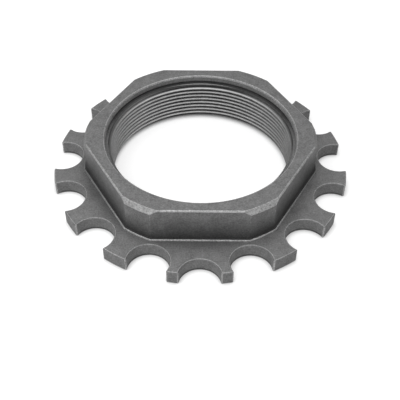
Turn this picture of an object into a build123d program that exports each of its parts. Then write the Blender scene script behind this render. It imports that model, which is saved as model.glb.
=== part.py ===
"""Axle lock nut, in one piece: a turned hexagon on a notched locking flange.

The origin is the centre of the seating face, where the underside of the flange meets the
bore's axis. +Z runs up the bore, and the deep-webbed front notch looks along -Y.
Millimetres and degrees throughout.
"""
import os
from math import cos, radians, sin

from build123d import *

# Driving dimensions of the locking flange
flange_diameter = 130.0
flange_thickness = 6.5

# Round notches in the flange's rim, which lock the nut; the front one sits further out
notch_radius = 8.7
notch_circle_diameter = 123.9
front_notch_radius = 8.6
front_notch_circle_diameter = 131.6
notch_mouth_inset = 0.4
notches_each_side = 7
front_notch_angle = -90.0
first_notch_angle = 19.45
second_notch_angle = 25.35
next_notch_angle = 24.2

# Driving dimensions of the hexagon
nut_height = 23.0
across_flats = 93.2
corner_diameter = 101.4
top_circle_diameter = 98.8
corner_chamfer_height = 2.2

# Narrow plinth where the hexagon grows out of the flange
plinth_width = 1.2
plinth_height = 0.7

# Bore: the thread's major diameter is the wall, because the fine ridges aren't modelled here
thread_diameter = 80.0
counterbore_diameter = 82.8
counterbore_depth = 3.5
relief_diameter = 84.0
relief_width = 0.9
thread_entry_chamfer = 0.4
seat_chamfer = 1.3

# Broken and rounded edges
rim_edge_break = 0.4
tooth_corner_radius = 0.5
plinth_edge_radius = 0.5
flat_edge_break = 0.5
mouth_edge_break = 0.6

# The heights at which the sections change
flange_top = flange_thickness
counterbore_floor = nut_height - counterbore_depth
hexagon_height = nut_height - flange_top


def notch_angles():
    """Angles of the notches on both sides of the front one, counted from +X."""
    angles = []
    turn = first_notch_angle
    for index in range(notches_each_side):
        angles.append(front_notch_angle + turn)
        angles.append(front_notch_angle - turn)
        turn += second_notch_angle if index == 0 else next_notch_angle
    return angles


def cut_notch(angle, reach, radius):
    """Bites a round notch out of the outline, with a mouth that stays open if it is set deeper."""
    mouth_width = 2 * (radius - notch_mouth_inset)
    with Locations((reach * cos(radians(angle)), reach * sin(radians(angle)))):
        Circle(radius, mode=Mode.SUBTRACT)
        Rectangle(
            flange_diameter / 2,
            mouth_width,
            rotation=angle,
            align=(Align.MIN, Align.CENTER),
            mode=Mode.SUBTRACT,
        )


# Flange: a disc with round bites out of its rim
with BuildPart() as flange:
    with BuildSketch() as flange_outline:
        Circle(flange_diameter / 2)
        cut_notch(front_notch_angle, front_notch_circle_diameter / 2, front_notch_radius)
        for angle in notch_angles():
            cut_notch(angle, notch_circle_diameter / 2, notch_radius)
    extrude(amount=flange_thickness)
    tooth_corners = flange.edges().filter_by(Axis.Z)
    fillet(tooth_corners, radius=tooth_corner_radius)
    rim_edges = flange.faces().filter_by(Axis.Z).edges()
    chamfer(rim_edges, length=rim_edge_break)

# Hexagon whose corners were turned down to a circle and chamfered on top
with BuildPart() as hexagon:
    with BuildSketch(Plane.XY.offset(flange_top)) as hexagon_outline:
        RegularPolygon(across_flats / 2, 6, major_radius=False)
        Circle(corner_diameter / 2, mode=Mode.INTERSECT)
    extrude(amount=hexagon_height)
    top_edges = hexagon.faces().sort_by(Axis.Z)[-1].edges()
    chamfer(top_edges.filter_by(GeomType.LINE), length=flat_edge_break)
    with BuildSketch(Plane.XZ) as corner_cone:
        chamfer_bottom = nut_height - corner_chamfer_height
        with BuildLine():
            Polyline(
                (0, flange_top),
                (corner_diameter / 2, flange_top),
                (corner_diameter / 2, chamfer_bottom),
                (top_circle_diameter / 2, nut_height),
                (0, nut_height),
                close=True,
            )
        make_face()
    revolve(axis=Axis.Z, mode=Mode.INTERSECT)

# Plinth: the hexagon's outline, a little larger
with BuildPart() as plinth:
    with BuildSketch(Plane.XY.offset(flange_top)) as plinth_outline:
        RegularPolygon(across_flats / 2 + plinth_width, 6, major_radius=False)
        Circle(corner_diameter / 2 + plinth_width, mode=Mode.INTERSECT)
    extrude(amount=plinth_height)
    fillet(plinth.faces().sort_by(Axis.Z)[-1].edges(), radius=plinth_edge_radius)

# The finished nut: the three forms as one piece of steel, then bored through
with BuildPart() as nut:
    add(flange.part)
    add(plinth.part)
    add(hexagon.part)
    with BuildSketch(Plane.XZ) as bore_profile:
        with BuildLine():
            Polyline(
                (0, 0),
                (thread_diameter / 2 + seat_chamfer, 0),
                (thread_diameter / 2, seat_chamfer),
                (thread_diameter / 2, counterbore_floor - thread_entry_chamfer),
                (thread_diameter / 2 + thread_entry_chamfer, counterbore_floor),
                (relief_diameter / 2, counterbore_floor),
                (relief_diameter / 2, counterbore_floor + relief_width),
                (counterbore_diameter / 2, counterbore_floor + relief_width),
                (counterbore_diameter / 2, nut_height),
                (0, nut_height),
                close=True,
            )
        make_face()
    revolve(axis=Axis.Z, mode=Mode.SUBTRACT)
    mouth = nut.faces().sort_by(Axis.Z)[-1].inner_wires().edges()
    chamfer(mouth, length=mouth_edge_break)

nut.part.label = "nut"

os.makedirs("parts", exist_ok=True)
export_step(nut.part, "parts/nut.step")
print("nut volume in cubic millimetres:", round(nut.part.volume))
print("nut size:", nut.part.bounding_box().size)
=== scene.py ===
# %% [markdown]
# # An axle lock nut in dark blasted steel
#
# The nut is one piece: a turned hexagon with a fine-threaded bore, standing on a wide flange
# whose rim has round locking notches. The solid comes ready made from CAD. This lesson gives
# it its looks in four steps: a skin with truly rounded edges in place of the solid, the cut
# thread that the solid leaves out, the two steel finishes, and a white studio.

# %% Load the frame
import math

import bpy
import numpy as np
from mathutils import Matrix, Vector


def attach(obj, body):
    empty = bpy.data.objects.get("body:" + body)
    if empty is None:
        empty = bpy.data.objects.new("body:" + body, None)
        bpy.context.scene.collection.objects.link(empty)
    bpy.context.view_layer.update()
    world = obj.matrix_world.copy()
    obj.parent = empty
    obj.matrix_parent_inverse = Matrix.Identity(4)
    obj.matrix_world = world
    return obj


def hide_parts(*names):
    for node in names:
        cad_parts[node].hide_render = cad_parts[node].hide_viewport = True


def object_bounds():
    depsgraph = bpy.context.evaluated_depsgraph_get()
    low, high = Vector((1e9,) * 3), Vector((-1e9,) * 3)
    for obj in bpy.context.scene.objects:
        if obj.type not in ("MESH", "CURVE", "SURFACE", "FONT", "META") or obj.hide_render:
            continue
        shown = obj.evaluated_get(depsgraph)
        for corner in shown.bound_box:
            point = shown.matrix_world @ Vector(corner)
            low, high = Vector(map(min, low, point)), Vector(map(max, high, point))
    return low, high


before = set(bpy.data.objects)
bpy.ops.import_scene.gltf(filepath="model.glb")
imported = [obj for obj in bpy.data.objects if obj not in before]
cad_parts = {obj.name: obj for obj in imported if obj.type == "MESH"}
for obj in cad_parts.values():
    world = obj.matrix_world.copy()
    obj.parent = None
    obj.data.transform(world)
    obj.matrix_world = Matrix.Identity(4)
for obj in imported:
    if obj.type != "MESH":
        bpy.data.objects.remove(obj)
solid_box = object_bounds()
print("the solid measures", [round(1000 * side, 1) for side in solid_box[1] - solid_box[0]], "mm")

# %% [markdown]
# ## Sizes
#
# These are the solid's own sizes, in millimetres. The helpers work in millimetres as well,
# and a shape is turned into metres once, when it becomes a mesh. The height of the nut is
# read from the solid, so the skin always ends where the solid does.

# %% Sizes that the skin shares with the solid
MM = 0.001

nut_height = solid_box[1].z / MM
flange_radius = 65.0
flange_top = 6.5
rim_edge_break = 0.4
tooth_corner_radius = 0.5

notch_radius = 8.7
notch_reach = 61.95
front_notch_radius = 8.6
front_notch_reach = 65.8
front_notch_angle = -90.0
first_notch_angle = 19.45
second_notch_angle = 25.35
next_notch_angle = 24.2
notches_each_side = 7

flat_distance = 46.6
corner_radius = 50.7
top_corner_radius = 49.4
corner_chamfer_height = 2.2
flat_edge_break = 0.5
plinth_width = 1.2
plinth_height = 0.7
plinth_edge_radius = 0.5

thread_major = 40.0
counterbore_radius = 41.4
counterbore_floor = nut_height - 3.5
mouth_edge_break = 0.6
relief_radius = 42.0
relief_width = 0.9
entry_chamfer = 0.4
seat_chamfer = 1.3
print("the hexagon stands", nut_height - flange_top, "mm above the flange")

# %% [markdown]
# ## Rounded sections
#
# No edge on real steel is perfectly sharp. A tiny round catches the light, and that thin
# bright line is most of what makes metal look real. So each section of the nut is a chain of
# corners, and every corner becomes a small arc with a guard point on either side. Smooth
# shading ends at the guards, so the flat faces between them stay flat.
#
# The same helper marks each point for the finish: 1 is an edge that is rubbed bright, and -1
# is a nook that is darkened with painted shade and dirt. A guard is 0, so each mark fades out
# beside its arc. Only a narrow run between two rubbed edges is rubbed all over, and one between
# two nooks is darkened all over, by the weaker of its two marks.

# %% Round the corners of a section
# SCUFF_AND_SHEEN is wear on the bore's mouth and painted light on the counterbore wall.
EDGE, RUBBED, SCUFF_AND_SHEEN = 1.0, 0.8, 0.65
PLAIN = 0.0
# Negative marks darken the colour: painted shade in hollows and along feet, with some dirt.
STAIN_AND_SHADE, NOOK_SHADE = -0.85, -1.0
narrow_run = 3.0
guard_distance = 0.14
arc_steps = 3
straight_turn = 1e-3
straight_reach = 0.08


def arc_at(corner, back, ahead, turn, radius):
    """The arc that rounds one corner, in equal steps.

    The centre lies on the corner's bisector, radius / cos(turn / 2) away. A straight run has
    no arc, so its points are spread evenly along the run instead.
    """
    along = (ahead - back) / np.linalg.norm(ahead - back)
    share = np.linspace(-1, 1, arc_steps + 1)[:, None]
    if turn < straight_turn:
        return corner + share * straight_reach * along
    inward = (back + ahead) / np.linalg.norm(back + ahead)
    centre = corner + inward * radius / math.cos(turn / 2)
    sweep = share * turn / 2
    return centre + radius * (np.sin(sweep) * along - np.cos(sweep) * inward)


def rounded_section(corners):
    """Rows of (across, height, mark) along a section whose corners are rounded.

    A corner is (across, height, radius, mark). An arc of radius r that turns by an angle a
    reaches r * tan(a / 2) along both of its runs. Where a run is short, its two guards stand at
    a third and two thirds of what is left between the arcs.
    """
    places = np.array([corner[:2] for corner in corners])
    radii = np.array([corner[2] for corner in corners])
    runs = np.diff(places, axis=0)
    lengths = np.linalg.norm(runs, axis=1)
    heading = runs / lengths[:, None]
    turns = np.zeros(len(corners))
    turns[1:-1] = np.arccos(np.clip((heading[:-1] * heading[1:]).sum(axis=1), -1, 1))
    reaches = np.where(turns < straight_turn, straight_reach, radii * np.tan(turns / 2))
    reaches[[0, -1]] = 0
    guards = np.minimum(guard_distance, (lengths - reaches[:-1] - reaches[1:]) / 3)
    marks = np.array([corner[3] for corner in corners])
    lower, upper = np.minimum(marks[:-1], marks[1:]), np.maximum(marks[:-1], marks[1:])
    narrow = lengths < narrow_run
    # A narrow run between two nooks is darkened all over: painted shade and dirt.
    shade_and_dirt = np.where(narrow & (upper < PLAIN), upper, PLAIN)
    guard_marks = np.where(narrow & (lower > PLAIN), lower, shade_and_dirt)
    rows = [[*places[0], PLAIN]]
    for index in range(1, len(corners) - 1):
        corner, back, ahead = places[index], -heading[index - 1], heading[index]
        first_guard = corner + back * (reaches[index] + guards[index - 1])
        last_guard = corner + ahead * (reaches[index] + guards[index])
        arc = arc_at(corner, back, ahead, turns[index], radii[index])
        rows.append([*first_guard, guard_marks[index - 1]])
        rows.extend([*point, marks[index]] for point in arc)
        rows.append([*last_guard, guard_marks[index]])
    rows.append([*places[-1], PLAIN])
    return np.array(rows)


print("a rounded corner takes", arc_steps + 3, "rows")

# %% [markdown]
# ## Outlines
#
# Seen from above, the nut has two outlines. The flange's is all arcs: rim, rounded tooth
# corner, notch, tooth corner. The hexagon's is a flat, a narrow round, the arc of the turned
# corner and another narrow round, six times. Both are worked out for any inset, so the same
# function gives the wall, the broken edge and the rows on the faces beside it.

# %% Outline of the flange
corner_steps = 6
notch_steps = 36
rim_steps = 16
smallest_round = 0.03


def polar(angle):
    """Unit vectors at angles in radians."""
    return np.stack([np.cos(angle), np.sin(angle)], axis=-1)


def guarded(start, end, steps, radius):
    """Angles along an arc in even steps, apart from a short guard step at either end."""
    guard = math.copysign(guard_distance / radius, end - start)
    return np.concatenate([[start], np.linspace(start + guard, end - guard, steps - 1), [end]])


def notch_list():
    """Angle in degrees, reach and radius of each notch, anticlockwise from the front."""
    notches = [(front_notch_angle, front_notch_reach, front_notch_radius)]
    turn = first_notch_angle
    for index in range(notches_each_side):
        notches.append((front_notch_angle + turn, notch_reach, notch_radius))
        notches.append((front_notch_angle - turn + 360, notch_reach, notch_radius))
        turn += second_notch_angle if index == 0 else next_notch_angle
    return sorted(notches)


def notch_corner(reach, radius, inset):
    """Centre of the round between rim and notch, beside an axis along the notch.

    It is one round's radius inside the rim and one outside the notch, so the three circles
    touch. The cosine rule gives its place along the axis.
    """
    round_radius = max(tooth_corner_radius - inset, smallest_round)
    from_axis = flange_radius - inset - round_radius
    from_notch = radius + inset + round_radius
    along = (from_axis**2 + reach**2 - from_notch**2) / (2 * reach)
    return along, math.sqrt(from_axis**2 - along**2), round_radius


def flange_outline(inset):
    """Plan points of the rim, anticlockwise, drawn in by an inset, with their marks.

    Each point is an arc's centre plus or minus its radius along the outward normal. The
    normal's angle runs evenly from one end of the arc to the other.
    """
    notches = notch_list()
    points, marks = [], []
    for number, (angle, reach, radius) in enumerate(notches):
        after_angle, after_reach, after_radius = notches[(number + 1) % len(notches)]
        along, aside, round_radius = notch_corner(reach, radius, inset)
        rim_normal = math.atan2(aside, along)
        mouth_normal = math.atan2(aside, reach - along)
        entering = np.linspace(-rim_normal, mouth_normal, corner_steps + 1)[:-1]
        inside = guarded(mouth_normal, -mouth_normal, notch_steps, radius)[:-1]
        leaving = np.linspace(-mouth_normal, rim_normal, corner_steps + 1)[:-1]
        local = np.concatenate([
            np.array([along, -aside]) + round_radius * polar(entering),
            np.array([reach, 0]) - (radius + inset) * polar(inside),
            np.array([along, aside]) + round_radius * polar(leaving),
        ])
        tilt = math.radians(angle)
        ahead, side = polar(tilt), polar(tilt + math.pi / 2)
        points.append(local[:, :1] * ahead + local[:, 1:] * side)
        after_along, after_aside, _ = notch_corner(after_reach, after_radius, inset)
        gap = math.radians((after_angle - angle) % 360)
        rim_end = gap - math.atan2(after_aside, after_along)
        rim = tilt + guarded(rim_normal, rim_end, rim_steps, flange_radius)[:-1]
        points.append((flange_radius - inset) * polar(rim))
        corner_marks = [RUBBED] * corner_steps
        marks += corner_marks + [RUBBED] + [PLAIN] * (notch_steps - 1) + corner_marks
        marks += [RUBBED] + [PLAIN] * (rim_steps - 1)
    return np.concatenate(points), np.array(marks)


steps_per_notch = 2 * corner_steps + notch_steps + rim_steps
print("the flange's outline has", len(flange_outline(0)[0]), "points")

# %% Outline of the hexagon
flat_steps = 48
turned_steps = 10
narrow_steps = 3
narrow_round = 0.18


def hexagon_outline(flat, corner):
    """Plan points of a hexagon with turned corners, anticlockwise.

    flat is the distance of the six flats from the axis, and corner the radius of the circle
    that the corners are turned to. A narrow round joins the two.
    """
    along = flat - narrow_round
    aside = math.sqrt((corner - narrow_round) ** 2 - along**2)
    turned_from = math.atan2(aside, along)
    flat_run = guarded(-aside, aside, flat_steps, 1.0)
    straight = np.stack([np.full_like(flat_run, flat), flat_run], axis=-1)
    first = np.linspace(0, turned_from, narrow_steps + 1)[1:]
    turned = guarded(turned_from, math.pi / 3 - turned_from, turned_steps, corner)[1:]
    last = np.linspace(math.pi / 3 - turned_from, math.pi / 3, narrow_steps + 1)[1:-1]
    last_centre = (corner - narrow_round) * polar(math.pi / 3 - turned_from)
    local = np.concatenate([
        straight,
        np.array([along, aside]) + narrow_round * polar(first),
        corner * polar(turned),
        last_centre + narrow_round * polar(last),
    ])
    points = []
    for side in range(6):
        facing = math.radians(front_notch_angle) + side * math.pi / 3
        points.append(local[:, :1] * polar(facing) + local[:, 1:] * polar(facing + math.pi / 2))
    return np.concatenate(points)


print("the hexagon's outline has", len(hexagon_outline(flat_distance, corner_radius)), "points")

# %% [markdown]
# ## The skin
#
# The skin has two bands. One goes round the flange's edge, from the underside over the rim to
# the flange's top. The other climbs from the flange's top over the plinth and the hexagon,
# crosses the top face and goes down the bore to the underside. Two flat rings close it, one
# on top of the flange and one beneath. Their faces run from tooth to tooth, since a notch is
# too deep for straight strips between the two outlines.

# %% Band round the flange's edge
face_margin = 0.7
rim_round = 0.15
wall_shade_height = 1.5
sheltered_depth = 3.0


def flange_band():
    """Rows of points and marks over the rim: outline(inset) at each height of the section.

    Painted shade with some dirt lies along the foot of the wall, as a dark contact line, and
    fades out at a height of its own. It is scaled by how deep in a notch the wall stands, so
    the tips of the teeth stay light.
    """
    section = rounded_section([
        (face_margin, 0, 0, PLAIN),
        (rim_edge_break, 0, rim_round, NOOK_SHADE),
        (0, rim_edge_break, rim_round, NOOK_SHADE),
        (0, flange_top - rim_edge_break, rim_round, PLAIN),
        (rim_edge_break, flange_top, rim_round, EDGE),
        (face_margin, flange_top, 0, PLAIN),
    ])
    last_shaded = int(np.flatnonzero(section[:, 2] == NOOK_SHADE)[-1])
    section[last_shaded + 1, 1] = wall_shade_height
    points, marks = [], []
    for inset, height, mark in section:
        plan, column_marks = flange_outline(inset)
        depth = flange_radius - inset - np.linalg.norm(plan, axis=1)
        sheltered = np.clip(depth / sheltered_depth, 0, 1)
        upright_edge = (column_marks > PLAIN) & (inset < rim_edge_break / 2)
        # Painted shade at the wall's foot deepens with the notch.
        row_mark = mark * sheltered if mark < PLAIN else mark
        points.append(np.column_stack([plan, np.full(len(plan), height)]))
        marks.append(np.where(upright_edge, column_marks, row_mark))
    return np.array(points), np.array(marks)


edge_points, edge_marks = flange_band()
print("the band round the flange has", len(edge_points), "rows")

# %% Band over the plinth and the hexagon
plinth_foot = 0.35
plinth_foot_round = 0.05
plinth_nook_round = 0.15
plinth_rows = 2 * (arc_steps + 3)
plinth_shade_width = 0.6
bend_round = 0.15
top_round = 0.2
top_margin = 0.8
flat_shade_height = 13.0
corner_shade_height = 9.5
plinth_loss = 0.6
flat_loss = 0.25
corner_loss = 0.55


def hexagon_rows():
    """Rows over the plinth and the hexagon.

    The flats and the turned corners have sections of their own with as many rows each. A
    narrow round between them takes its height from both, in step with its turn, and is rubbed
    all the way up to the broken edge.

    The first unshaded row over the plinth's nook is raised high up the wall, so the painted
    shade at the wall's foot fades slowly and the walls are darker towards the bottom. The wear
    marks carry a painted highlight that is brightest at the front, and a share of it is lost
    towards the back.
    """
    chamfer_bottom = nut_height - corner_chamfer_height
    break_bottom = nut_height - flat_edge_break
    cone = (corner_radius - top_corner_radius) / corner_chamfer_height
    cone_at_break = top_corner_radius + cone * flat_edge_break
    plinth_top = flange_top + plinth_height
    sections = []
    for wall, bend_radius, bend_mark, middle, top_wall, break_radius in (
        (flat_distance, 0, PLAIN, flat_distance, flat_distance - flat_edge_break, top_round),
        (corner_radius, bend_round, EDGE, cone_at_break, top_corner_radius, 0),
    ):
        sections.append(rounded_section([
            (wall + plinth_width + plinth_foot, flange_top, 0, PLAIN),
            (wall + plinth_width, flange_top, plinth_foot_round, PLAIN),
            (wall + plinth_width, plinth_top, plinth_edge_radius, RUBBED),
            (wall + plinth_shade_width, plinth_top, 0, NOOK_SHADE),
            (wall, plinth_top, plinth_nook_round, NOOK_SHADE),
            (wall, chamfer_bottom, bend_radius, bend_mark),
            (middle, break_bottom, break_radius, EDGE),
            (top_wall, nut_height, top_round, EDGE),
            (top_wall - top_margin, nut_height, 0, PLAIN),
        ]))
    flats, corners = sections
    # Painted shade: the walls darken towards the plinth, fading out over these heights.
    foot_row = int(np.flatnonzero(flats[:, 2] == NOOK_SHADE)[-1]) + 1
    flats[foot_row, 1] = plinth_top + flat_shade_height
    corners[foot_row, 1] = plinth_top + corner_shade_height
    flats[foot_row, 2] = corners[foot_row, 2] = PLAIN
    points, marks = [], []
    narrow_share = np.linspace(0, 1, narrow_steps + 1)
    corner_share = np.tile(
        np.concatenate([
            np.zeros(flat_steps + 1), narrow_share[1:],
            np.ones(turned_steps), narrow_share[-2:0:-1],
        ]),
        6,
    )
    on_narrow = np.tile(
        np.concatenate([
            [1], np.zeros(flat_steps - 1), np.ones(narrow_steps + 1),
            np.zeros(turned_steps - 1), np.ones(narrow_steps),
        ]),
        6,
    )
    for (flat, flat_height, flat_mark), (corner, corner_height, corner_mark) in zip(flats, corners):
        height = flat_height + (corner_height - flat_height) * corner_share
        plan = hexagon_outline(flat, corner)
        points.append(np.column_stack([plan, height]))
        mark = flat_mark + (corner_mark - flat_mark) * corner_share
        if len(points) > foot_row and height.max() < break_bottom:
            mark = np.where(on_narrow, np.maximum(mark, RUBBED), mark)
        # Painted highlight: wear marks are brightest at the front and lose a share towards the back.
        turned_away = 1 - np.clip(-plan[:, 1] / flat_distance, 0, 1)
        loss = flat_loss + (corner_loss - flat_loss) * corner_share
        if len(points) <= plinth_rows:
            loss = np.maximum(loss, plinth_loss)
        marks.append(np.where(mark > PLAIN, mark * (1 - loss * turned_away), mark))
    return points, marks


hexagon_points, hexagon_marks = hexagon_rows()
print("the plinth and the hexagon have", len(hexagon_points), "rows")

# %% [markdown]
# The bore goes on from the top face's last row, so its circles keep the hexagon's columns. A
# counterbore stands above the thread, with a groove turned at its foot. That groove is the
# dark line at the back of the bore: little light gets in, and painted shade on the groove and
# on the shelf beside it, darkest at the back, deepens the line.

# %% Bore
mouth_round = 0.2
groove_round = 0.2
bore_round = 0.1
floor_rise = 0.1
mouth_guard = 0.15
floor_spread = 2.5
side_spread = 2.2


def bore_rows(columns):
    """Rows of circles down the bore, at the same angles as the hexagon's columns.

    The sine of a column's angle is 1 at the back, and it is cut off at 0 at the sides. Painted
    shade on the counterbore's floor is scaled by a multiple of it, up to 1, and other painted
    shade by its square, so the back is darkest. Painted light on the wall above the floor is
    scaled by a multiple of 1 - sine, up to 1, so the sides are lighter.
    """
    section = rounded_section([
        (counterbore_radius + mouth_edge_break + top_margin, nut_height, 0, PLAIN),
        (counterbore_radius + mouth_edge_break, nut_height, mouth_round, EDGE),
        (counterbore_radius, nut_height - mouth_edge_break, mouth_round, SCUFF_AND_SHEEN),
        (counterbore_radius, counterbore_floor + relief_width, bore_round, SCUFF_AND_SHEEN),
        (relief_radius, counterbore_floor + relief_width, bore_round, PLAIN),
        (relief_radius, counterbore_floor, groove_round, NOOK_SHADE),
        (thread_major + entry_chamfer, counterbore_floor, bore_round, STAIN_AND_SHADE),
        (thread_major, counterbore_floor - entry_chamfer, bore_round, PLAIN),
        (thread_major, seat_chamfer, bore_round, PLAIN),
        (thread_major + seat_chamfer, 0, bore_round, EDGE),
        (thread_major + seat_chamfer + top_margin, 0, 0, PLAIN),
    ])
    directions = columns / np.linalg.norm(columns, axis=1)[:, None]
    points = [np.column_stack([directions * radius, np.full(len(directions), height)])
              for radius, height, _ in section]
    sine = np.clip(directions[:, 1], 0, 1)
    wall_top = nut_height - mouth_edge_break - mouth_guard
    marks = []
    for _, height, mark in section:
        share = np.ones(len(directions))
        # Painted shade, darkest at the back of the bore.
        if mark < PLAIN:
            on_floor = height < counterbore_floor + floor_rise
            share = np.clip(floor_spread * sine, 0, 1) if on_floor else sine**2
        # Painted light: the counterbore wall is made lighter at the sides.
        elif counterbore_floor < height < wall_top:
            share = np.clip(side_spread * (1 - sine), 0, 1)
        marks.append(mark * share)
    return points, marks


bore_points, bore_marks = bore_rows(hexagon_points[-1][:, :2])
body_points = np.array(hexagon_points + bore_points)
body_marks = np.array(hexagon_marks + bore_marks)
print("the bore has", len(bore_points), "rows of", body_points.shape[1], "points")

# %% Faces between the rows


def grid_faces(rows, columns, first):
    """Quads between neighbouring rows and columns, closed round the axis."""
    row, column = np.meshgrid(np.arange(rows - 1), np.arange(columns), indexing="ij")
    after = (column + 1) % columns
    below, above = first + row * columns, first + (row + 1) * columns
    corners = [below + column, below + after, above + after, above + column]
    return np.stack(corners, axis=-1).reshape(-1, 4)


def ring_faces(outline, hub, outline_first, hub_first, looks_up):
    """Flat faces between the flange's outline and the hub's, one for each notch.

    Each face starts at the middle of a tooth, follows the outline round a notch to the next
    tooth, and comes back along the hub.
    """
    outline_count, hub_count = len(outline), len(hub)
    starts = np.arange(len(notch_list())) * steps_per_notch - rim_steps // 2
    teeth = outline[starts % outline_count]
    tooth_angle = np.arctan2(teeth[:, 1], teeth[:, 0])
    hub_angle = np.arctan2(hub[:, 1], hub[:, 0])
    apart = np.abs((tooth_angle[:, None] - hub_angle[None] + np.pi) % (2 * np.pi) - np.pi)
    nearest = apart.argmin(axis=1)
    faces = []
    for number, start in enumerate(starts):
        hub_start, hub_end = nearest[number], nearest[(number + 1) % len(starts)]
        hub_steps = (hub_end - hub_start) % hub_count
        outer = (start + np.arange(steps_per_notch + 1)) % outline_count + outline_first
        inner = (hub_start + np.arange(hub_steps, -1, -1)) % hub_count + hub_first
        face = np.concatenate([outer, inner]).tolist()
        faces.append(face if looks_up else face[::-1])
    return faces


edge_rows, edge_columns = edge_marks.shape
body_rows, body_columns = body_marks.shape
body_first = edge_rows * edge_columns
edge_last_row = (edge_rows - 1) * edge_columns
body_last_row = body_first + (body_rows - 1) * body_columns

skin_faces = grid_faces(edge_rows, edge_columns, 0).tolist()
skin_faces += grid_faces(body_rows, body_columns, body_first).tolist()
skin_faces += ring_faces(edge_points[-1], body_points[0], edge_last_row, body_first, looks_up=True)
skin_faces += ring_faces(edge_points[0], body_points[-1], 0, body_last_row, looks_up=False)
print("the skin has", len(skin_faces), "faces")

# %% The skin as an object


def surface_object(name, points, faces, **masks):
    """A mesh object from points in millimetres, with named masks on its points."""
    mesh = bpy.data.meshes.new(name)
    mesh.from_pydata((points * MM).tolist(), [], faces)
    mesh.polygons.foreach_set("use_smooth", np.ones(len(mesh.polygons), bool))
    for mask_name, values in masks.items():
        mask = mesh.attributes.new(mask_name, "FLOAT", "POINT")
        mask.data.foreach_set("value", values.astype(np.float32))
    mesh.update()
    made = bpy.data.objects.new(name, mesh)
    bpy.context.scene.collection.objects.link(made)
    return made


skin_marks = np.concatenate([edge_marks.ravel(), body_marks.ravel()])
nut_body = surface_object(
    "nut_body",
    np.concatenate([edge_points.reshape(-1, 3), body_points.reshape(-1, 3)]),
    skin_faces,
    wear=np.clip(skin_marks, 0, 1),
    grime=np.clip(-skin_marks, 0, 1),
)
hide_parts("nut")
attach(nut_body, "root")
nut_body.data.calc_loop_triangles()
print("nut_body has", len(nut_body.data.loop_triangles), "triangles")

# %% [markdown]
# ## The thread
#
# The bore holds a left-hand thread, cut after the blasting, so its crests are the brightest
# part, and its roots are darkened with painted shade. The photograph shows the hand: against
# the counterbore's edge, the ridges sink as the angle grows. The thread is one surface over
# two parameters, the angle round the bore and the height. The ridge's profile repeats every
# pitch along a helix, and the chamfers at both ends clip it.
#
# The painted shade in the roots is darkest at the back of the bore. Elsewhere the
# photograph's ridges are fainter, so painted light makes the roots lighter there, and
# lightest at the front.

# %% Thread surface
thread_pitch = 2.0
thread_depth = 0.5413 * thread_pitch
crest_height = 1.85
around = 360
rows_per_pitch = 16
wall_gap = 0.04
end_gap = 0.02
lip_height = 0.5
lip_crest = 0.6
seat_crest = 0.7
root_crest = 0.4
chamfer_crest = 0.27
front_crest = 0.5
back_sharpness = 8
front_start, front_slope = 0.3, 4.0
print("the thread's ridges are", round(thread_depth, 2), "mm deep and", thread_pitch, "mm apart")


def thread_profile(phase):
    """Share of the full ridge at a phase: 0 at the root, 1 at the crest.

    An eighth of the pitch is flat crest, a quarter is flat root, and straight flanks of a
    metric thread's slope join them.
    """
    from_crest = np.abs(phase % 1.0 - 0.5)
    crest_half, root_half = 1 / 16, 1 / 8
    return np.clip((0.5 - root_half - from_crest) / (0.5 - root_half - crest_half), 0, 1)


def thread_rows():
    """Points and crest shares of the threaded wall, and of the plain sleeve behind it.

    radius = root radius - depth * profile(height / pitch + angle / turn), and never less than
    the cone of either chamfer. At angle 0 a crest stands at the crest height.

    The crest share is how far the ridge stands out, and at least a share of its own on the lip
    at the back, on the seat chamfer, in the roots away from the back, and at the front. A low
    share paints the roots with shade, and these least shares are painted light.
    """
    length = counterbore_floor - 2 * end_gap
    rows = int(round(length / thread_pitch * rows_per_pitch))
    heights = np.linspace(end_gap, counterbore_floor - end_gap, rows)
    angles = np.linspace(0, 2 * np.pi, around, endpoint=False)
    turn, height = np.meshgrid(angles, heights)
    profile = thread_profile(0.5 + (height - crest_height) / thread_pitch + turn / (2 * np.pi))
    root_radius = thread_major - wall_gap
    radius = root_radius - (thread_depth - wall_gap) * profile
    seat_cone = root_radius + seat_chamfer - height
    entry_cone = root_radius + entry_chamfer - (counterbore_floor - height)
    radius = np.maximum(radius, np.maximum(seat_cone, entry_cone))
    # Painted light: a higher share on the lip at the back, the seat chamfer, the side roots and the
    # front.
    at_back = np.clip(np.sin(turn), 0, 1) ** back_sharpness
    lip = lip_crest * at_back * (1 - (counterbore_floor - height) / lip_height)
    ridge = (root_radius - radius) / thread_depth
    seat = seat_crest * (height < seat_chamfer)
    least = np.where(height < counterbore_floor - entry_chamfer, root_crest, chamfer_crest)
    open_root = least * (1 - at_back)
    at_front = front_crest * np.clip(front_start - front_slope * np.sin(turn), 0, 1)
    crest = np.clip(np.maximum.reduce([ridge, lip, seat, open_root, at_front]), 0, 1)
    sleeve = np.maximum(radius, thread_major) + wall_gap
    entry_row = rows - 1 - int(entry_chamfer / thread_pitch * rows_per_pitch)
    seat_row = int(seat_chamfer / thread_pitch * rows_per_pitch)
    sleeve_rows = [rows - 1, entry_row, seat_row, 0]
    radius = np.concatenate([radius, sleeve[sleeve_rows]])
    turn = np.concatenate([turn, turn[sleeve_rows]])
    height = np.concatenate([height, height[sleeve_rows]])
    crest = np.concatenate([crest, np.zeros((len(sleeve_rows), around))])
    return np.stack([radius * np.cos(turn), radius * np.sin(turn), height], axis=-1), crest


# %% The thread as an object
thread_points, crest_share = thread_rows()
row_count = len(thread_points)
thread_faces = grid_faces(row_count, around, 0)[:, ::-1]

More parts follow.
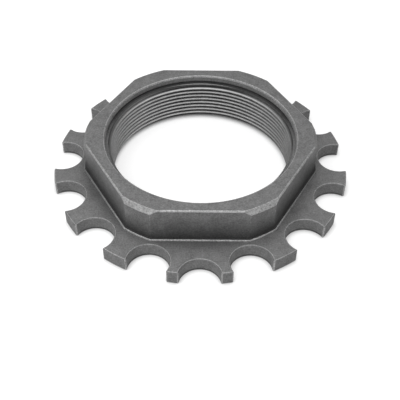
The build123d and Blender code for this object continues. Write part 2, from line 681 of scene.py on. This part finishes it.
# A last ring of faces joins the sleeve's last row to the first row of the wall
closing = grid_faces(2, around, 0)[:, ::-1]
closing = np.where(closing < around, closing + (row_count - 1) * around, closing - around)
bore_thread = surface_object(
    "bore_thread",
    thread_points.reshape(-1, 3),
    np.concatenate([thread_faces, closing]).tolist(),
    crest=crest_share.ravel(),
)
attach(bore_thread, "root")
print("bore_thread has", 2 * len(bore_thread.data.polygons), "triangles")

# %% [markdown]
# ## The finishes
#
# Blasted and phosphated steel is a dark satin metal with a fine grain. Where hands, tools
# and other parts rub it, on every edge, the coat thins and brighter steel shows. The wear
# marks also carry a painted highlight, brightest at the front, and the nooks and the feet of
# the walls get painted shade. The body and the thread both need the grain, so it is a node
# group, built once. Wear is a group as well, which keeps the body's material short.

# %% Shader helpers
noise_roughness = 0.6


def node(tree, kind, **settings):
    """Adds a node and sets its plain settings."""
    made = tree.nodes.new(kind)
    for key, value in settings.items():
        setattr(made, key, value)
    return made


def feed(tree, socket, value):
    """Puts a number into a socket, or links another socket to it."""
    if isinstance(value, (int, float)):
        socket.default_value = value
    else:
        tree.links.new(value, socket)


def calculate(tree, operation, first, second=0.0, clamp=False):
    """A Math node with sockets or numbers as its two inputs."""
    made = node(tree, "ShaderNodeMath", operation=operation, use_clamp=clamp)
    feed(tree, made.inputs[0], first)
    feed(tree, made.inputs[1], second)
    return made.outputs[0]


def soft_step(tree, value, low, high):
    """Rises smoothly from 0 to 1 as a value goes from low to high, or falls if low is above."""
    made = node(tree, "ShaderNodeMapRange", interpolation_type="SMOOTHSTEP")
    feed(tree, made.inputs["Value"], value)
    feed(tree, made.inputs["From Min"], low)
    feed(tree, made.inputs["From Max"], high)
    return made.outputs["Result"]


def blend(tree, share, first, second):
    """A number between two others, by a share."""
    made = node(tree, "ShaderNodeMix", data_type="FLOAT")
    feed(tree, made.inputs[0], share)
    feed(tree, made.inputs[2], first)
    feed(tree, made.inputs[3], second)
    return made.outputs[0]


def noise(tree, grain_size, detail):
    """Noise in the object's own coordinates, with grains of about a size in millimetres."""
    where = node(tree, "ShaderNodeTexCoord")
    made = node(tree, "ShaderNodeTexNoise", noise_dimensions="3D")
    tree.links.new(where.outputs["Object"], made.inputs["Vector"])
    made.inputs["Scale"].default_value = 1 / (grain_size * MM)
    made.inputs["Detail"].default_value = detail
    made.inputs["Roughness"].default_value = noise_roughness
    return made.outputs[0]


def mask(tree, name):
    """A mask that is stored on the mesh's points."""
    return node(tree, "ShaderNodeAttribute", attribute_name=name).outputs["Fac"]


print("every noise reads the object's own coordinates")

# %% Grain group
fine_grain, fine_detail = 0.65, 3.0
coarse_grain, coarse_detail = 4.0, 2.0


def new_group(name, inputs, outputs):
    """An empty node group with float sockets, and its two end nodes."""
    group = bpy.data.node_groups.new(name, "ShaderNodeTree")
    for socket_name, value in inputs.items():
        socket = group.interface.new_socket(socket_name, in_out="INPUT", socket_type="NodeSocketFloat")
        socket.default_value = value
    for socket_name in outputs:
        group.interface.new_socket(socket_name, in_out="OUTPUT", socket_type="NodeSocketFloat")
    return group, node(group, "NodeGroupInput"), node(group, "NodeGroupOutput")


def swing(tree, value, depth):
    """How far a noise swings from its middle: depth * (value - 0.5)."""
    return calculate(tree, "MULTIPLY", calculate(tree, "SUBTRACT", value, 0.5), depth)


def build_grain_group():
    """Blasted grain: a factor round 1 for the colour, and a height for the bump.

    factor = 1 + the fine noise's swing + the coarse noise's swing
    """
    group, given, made = new_group(
        "blasted_grain", {"Fine Depth": 1.0, "Coarse Depth": 0.5}, ("Factor", "Height")
    )
    fine = noise(group, fine_grain, fine_detail)
    coarse = noise(group, coarse_grain, coarse_detail)
    fine_swing = swing(group, fine, given.outputs["Fine Depth"])
    coarse_swing = swing(group, coarse, given.outputs["Coarse Depth"])
    factor = calculate(group, "ADD", calculate(group, "ADD", fine_swing, coarse_swing), 1.0)
    feed(group, made.inputs["Factor"], factor)
    feed(group, made.inputs["Height"], fine)
    return group


grain_group = build_grain_group()
print("the grain group has", len(grain_group.nodes), "nodes")

# %% Wear group
wear_grain, wear_detail = 0.5, 2.0
least_wear, patch_wear = 0.15, 1.6


def build_wear_group():
    """Broken wear: the edge mask with a patchy noise on it, cut off softly.

    worn = soft step of mask * (least + patch * noise), from the low to the high threshold
    """
    group, given, made = new_group("edge_wear", {"Mask": 0.0, "Low": 0.4, "High": 1.0}, ("Worn",))
    patches = calculate(group, "MULTIPLY", noise(group, wear_grain, wear_detail), patch_wear)
    patchy = calculate(group, "ADD", patches, least_wear)
    strength = calculate(group, "MULTIPLY", given.outputs["Mask"], patchy)
    worn_and_sheen = soft_step(group, strength, given.outputs["Low"], given.outputs["High"])
    feed(group, made.inputs["Worn"], worn_and_sheen)
    return group


wear_group = build_wear_group()
print("the wear group has", len(wear_group.nodes), "nodes")

# %% Material helpers
bump_depth = 0.1 * MM


def use_group(tree, group, **values):
    """Places a node group in a material with its own values."""
    made = node(tree, "ShaderNodeGroup", node_tree=group)
    for key, value in values.items():
        feed(tree, made.inputs[key.replace("_", " ").title()], value)
    return made.outputs


def steel_material(name, bump_strength):
    """A metal material with its output, shader and bump, ready for its colour."""
    material = bpy.data.materials.new(name)
    material.use_nodes = True
    tree = material.node_tree
    tree.nodes.clear()
    shader = node(tree, "ShaderNodeBsdfPrincipled")
    bump = node(tree, "ShaderNodeBump")
    bump.inputs["Strength"].default_value = bump_strength
    bump.inputs["Distance"].default_value = bump_depth
    tree.links.new(bump.outputs["Normal"], shader.inputs["Normal"])
    tree.links.new(shader.outputs[0], node(tree, "ShaderNodeOutputMaterial").inputs[0])
    shader.inputs["Metallic"].default_value = 1.0
    return material, tree, shader, bump


def grey(tree, value):
    """A neutral colour from one number."""
    made = node(tree, "ShaderNodeCombineColor")
    for socket in made.inputs:
        feed(tree, socket, value)
    return made.outputs[0]


print("the bump is", round(bump_depth / MM, 2), "mm deep at full strength")

# %% Painted shade at the plinth's foot
foot_shade = 0.58
foot_shade_reach = 8.5
open_corner_from, open_corner_to = 48.0, 57.0
right_loss = 0.6
level_reach = 0.05


def shade_beside_plinth(tree):
    """Painted shade on the flange's top: most at the plinth's foot, gone at its reach, less at the
    right.

    How far out a point lies on the hexagon is the largest of |point . normal| over its three
    pairs of flats. Distance from the middle takes the painted shade off the open flange at the
    corners.
    """
    where = node(tree, "ShaderNodeTexCoord").outputs["Object"]
    parts = node(tree, "ShaderNodeSeparateXYZ")
    tree.links.new(where, parts.inputs[0])
    outward = 0.0
    for turn in (-60, 0, 60):
        along = node(tree, "ShaderNodeVectorMath", operation="DOT_PRODUCT")
        along.inputs[1].default_value = (*polar(math.radians(front_notch_angle + turn)), 0)
        tree.links.new(where, along.inputs[0])
        distance = calculate(tree, "ABSOLUTE", along.outputs["Value"])
        outward = calculate(tree, "MAXIMUM", distance, outward)
    foot = flat_distance + plinth_width
    near = soft_step(tree, outward, (foot + foot_shade_reach) * MM, foot * MM)
    radial = node(tree, "ShaderNodeVectorMath", operation="DISTANCE")
    radial.inputs[1].default_value = (0, 0, flange_top * MM)
    tree.links.new(where, radial.inputs[0])
    inside = soft_step(tree, radial.outputs["Value"], open_corner_to * MM, open_corner_from * MM)
    height = parts.outputs["Z"]
    above = calculate(tree, "GREATER_THAN", height, (flange_top - level_reach) * MM)
    below = calculate(tree, "LESS_THAN", height, (flange_top + level_reach) * MM)
    level = calculate(tree, "MULTIPLY", above, below)
    loss_rate = right_loss / (flat_distance * MM)
    at_right = calculate(tree, "MULTIPLY", parts.outputs["X"], loss_rate, clamp=True)
    amount = calculate(tree, "SUBTRACT", foot_shade, calculate(tree, "MULTIPLY", at_right, foot_shade))
    covered = calculate(tree, "MULTIPLY", near, inside)
    return calculate(tree, "MULTIPLY", covered, calculate(tree, "MULTIPLY", level, amount))


print("dirt reaches", foot_shade_reach, "mm out from the plinth")

# %% Material of the body


def phosphated_steel():
    """Dark coated steel: grain all over, bright worn edges with a painted highlight, and painted shade
    in nooks and beside walls.
    """
    coat_grey, wear_and_sheen_grey, grime_grey = 0.205, 0.5, 0.05
    coat_rough, worn_rough, grime_rough = 0.5, 0.45, 0.7
    coat_metal, worn_metal = 0.45, 0.55
    material, tree, shader, bump = steel_material("phosphated_steel", bump_strength=0.35)
    grain = use_group(tree, grain_group, fine_depth=1.5, coarse_depth=0.6)
    # The wear mask is edge wear with a painted highlight and painted side light on it.
    worn_and_sheen = use_group(tree, wear_group, mask=mask(tree, "wear"))["Worn"]
    # Painted shade: the dark nook marks and the darkening of the flange beside the plinth.
    grime = calculate(tree, "MAXIMUM", mask(tree, "grime"), shade_beside_plinth(tree))
    color = blend(tree, grime, blend(tree, worn_and_sheen, coat_grey, wear_and_sheen_grey), grime_grey)
    grained = calculate(tree, "MULTIPLY", color, grain["Factor"])
    feed(tree, shader.inputs["Base Color"], grey(tree, grained))
    rough = blend(tree, grime, blend(tree, worn_and_sheen, coat_rough, worn_rough), grime_rough)
    feed(tree, shader.inputs["Roughness"], rough)
    feed(tree, shader.inputs["Metallic"], blend(tree, worn_and_sheen, coat_metal, worn_metal))
    feed(tree, bump.inputs["Height"], grain["Height"])
    return material


nut_body.data.materials.append(phosphated_steel())
print("the body wears", nut_body.data.materials[0].name)

# %% Material of the thread


def cut_thread():
    """Machined thread: bright crests, and roots darkened by painted shade."""
    root_shade_grey, crest_grey = 0.08, 0.58
    root_rough, crest_rough = 0.55, 0.35
    crest_from, crest_to = 0.1, 0.75
    material, tree, shader, bump = steel_material("cut_thread", bump_strength=0.15)
    grain = use_group(tree, grain_group, fine_depth=0.6, coarse_depth=0.3)
    crest = soft_step(tree, mask(tree, "crest"), crest_from, crest_to)
    color = blend(tree, crest, root_shade_grey, crest_grey)
    grained = calculate(tree, "MULTIPLY", color, grain["Factor"])
    feed(tree, shader.inputs["Base Color"], grey(tree, grained))
    feed(tree, shader.inputs["Roughness"], blend(tree, crest, root_rough, crest_rough))
    feed(tree, bump.inputs["Height"], grain["Height"])
    return material


bore_thread.data.materials.append(cut_thread())
print("the thread wears", bore_thread.data.materials[0].name)

# %% [markdown]
# ## The studio
#
# The photograph has a white floor that runs out of sight and soft light from all round. Its
# shadow is only a narrow dark line at the foot of the nut. So the floor glows a little for
# the camera and for reflections, which lifts the wide soft shadow to white, and the glow
# fades where the nut stands close above the floor, which keeps the line.
#
# The world gives the light from all round, and one softbox at the front left adds a little
# to the faces that look that way.

# %% Floor
floor_half = 3.0
paper_grey, paper_rough = 0.52, 0.9
seen_glow = 0.62
mirrored_glow = 0.14
contact_distance = 2.2 * MM


def white_floor():
    """A square floor whose glow is scaled by how open it is within the contact distance."""
    mesh = bpy.data.meshes.new("floor")
    corners = [(-1, -1), (1, -1), (1, 1), (-1, 1)]
    mesh.from_pydata([(x * floor_half, y * floor_half, 0) for x, y in corners], [], [(0, 1, 2, 3)])
    paper = bpy.data.materials.new("white_paper")
    paper.use_nodes = True
    tree = paper.node_tree
    tree.nodes.clear()
    shader = node(tree, "ShaderNodeBsdfPrincipled")
    shader.inputs["Base Color"].default_value = (paper_grey, paper_grey, paper_grey, 1)
    shader.inputs["Roughness"].default_value = paper_rough
    shader.inputs["Emission Color"].default_value = (1, 1, 1, 1)
    tree.links.new(shader.outputs[0], node(tree, "ShaderNodeOutputMaterial").inputs[0])
    ray = node(tree, "ShaderNodeLightPath").outputs
    opening = node(tree, "ShaderNodeAmbientOcclusion", samples=16)
    opening.inputs["Distance"].default_value = contact_distance
    seen = calculate(tree, "MULTIPLY", ray["Is Camera Ray"], seen_glow)
    mirrored = calculate(tree, "MULTIPLY", ray["Is Glossy Ray"], mirrored_glow)
    glow = calculate(tree, "MULTIPLY", opening.outputs["AO"], calculate(tree, "ADD", seen, mirrored))
    feed(tree, shader.inputs["Emission Strength"], glow)
    mesh.materials.append(paper)
    floor = bpy.data.objects.new("floor", mesh)
    bpy.context.scene.collection.objects.link(floor)
    return floor


white_floor()
print("the floor is", 2 * floor_half, "m wide")

# %% World
horizon_light = 0.3
overhead_light = 1.35
overhead_height = 0.55


def studio_light():
    """White light from all round, brighter overhead than at the horizon.

    strength = horizon + (overhead - horizon) * soft step of the direction's height. The camera
    itself sees plain white.
    """
    world = bpy.data.worlds.new("studio")
    world.use_nodes = True
    tree = world.node_tree
    background = tree.nodes["Background"]
    background.inputs["Color"].default_value = (1, 1, 1, 1)
    direction = node(tree, "ShaderNodeSeparateXYZ")
    tree.links.new(node(tree, "ShaderNodeTexCoord").outputs["Generated"], direction.inputs[0])
    height = soft_step(tree, direction.outputs["Z"], overhead_height, 1.0)
    light = blend(tree, height, horizon_light, overhead_light)
    seen = node(tree, "ShaderNodeLightPath").outputs["Is Camera Ray"]
    feed(tree, background.inputs["Strength"], blend(tree, seen, light, 1.0))
    return world


bpy.context.scene.world = studio_light()
times = round(overhead_light / horizon_light, 2)
print("the light overhead is", times, "times the light at the horizon")

# %% Softbox
softbox_side = 0.35
softbox_distance = 0.35
softbox_watts = 0.75
softbox_heading = math.radians(-128)
softbox_elevation = math.radians(48)


def add_softbox():
    """A wide soft lamp at the front left, a little higher than the camera, that faces the nut.

    Reflections don't show it, so it lights only the matt part of the finish and puts no
    highlight on the edges.
    """
    lamp = bpy.data.lights.new("softbox", "AREA")
    lamp.size = softbox_side
    lamp.energy = softbox_watts
    softbox = bpy.data.objects.new("softbox", lamp)
    softbox.visible_glossy = False
    bpy.context.scene.collection.objects.link(softbox)
    across = math.cos(softbox_elevation)
    towards = Vector((
        across * math.cos(softbox_heading),
        across * math.sin(softbox_heading),
        math.sin(softbox_elevation),
    ))
    softbox.location = towards * softbox_distance
    softbox.rotation_euler = towards.to_track_quat("Z", "Y").to_euler()


add_softbox()
print("the softbox stands", softbox_distance, "m from the nut")

# %% [markdown]
# ## The camera
#
# The camera was found by fitting the nut's circles and edges in the photograph. It stands in
# front of the front notch, 43 degrees above the floor. It aims a little below the centre of
# the seating face, and leans by less than a degree.

# %% Camera
photo_width = 400
sensor_width = 36.0
focal_pixels = 760.9
camera_distance = 346.6 * MM
camera_heading = math.radians(-90.25)
camera_elevation = math.radians(43.44)
camera_pitch = math.radians(-2.10)
camera_roll = math.radians(-0.64)

camera_data = bpy.data.cameras.new("camera")
camera_data.sensor_width = sensor_width
camera_data.lens = focal_pixels / photo_width * sensor_width
camera = bpy.data.objects.new("camera", camera_data)
bpy.context.scene.collection.objects.link(camera)
bpy.context.scene.camera = camera

across = math.cos(camera_elevation)
place = camera_distance * Vector((
    across * math.cos(camera_heading),
    across * math.sin(camera_heading),
    math.sin(camera_elevation),
))
ahead = -place.normalized()
right = Vector((-math.sin(camera_heading), math.cos(camera_heading), 0))
up = right.cross(ahead)
pitch = Matrix.Rotation(camera_pitch, 3, right)
ahead, up = pitch @ ahead, pitch @ up
roll = Matrix.Rotation(camera_roll, 3, ahead)
right, up = roll @ right, roll @ up
camera.matrix_world = Matrix.Translation(place) @ Matrix((right, up, -ahead)).transposed().to_4x4()
print("the camera stands", round(camera_distance / MM), "mm from the seating face's centre")

# %% View settings
bpy.context.scene.view_settings.view_transform = "Standard"
print("the view transform is", bpy.context.scene.view_settings.view_transform)
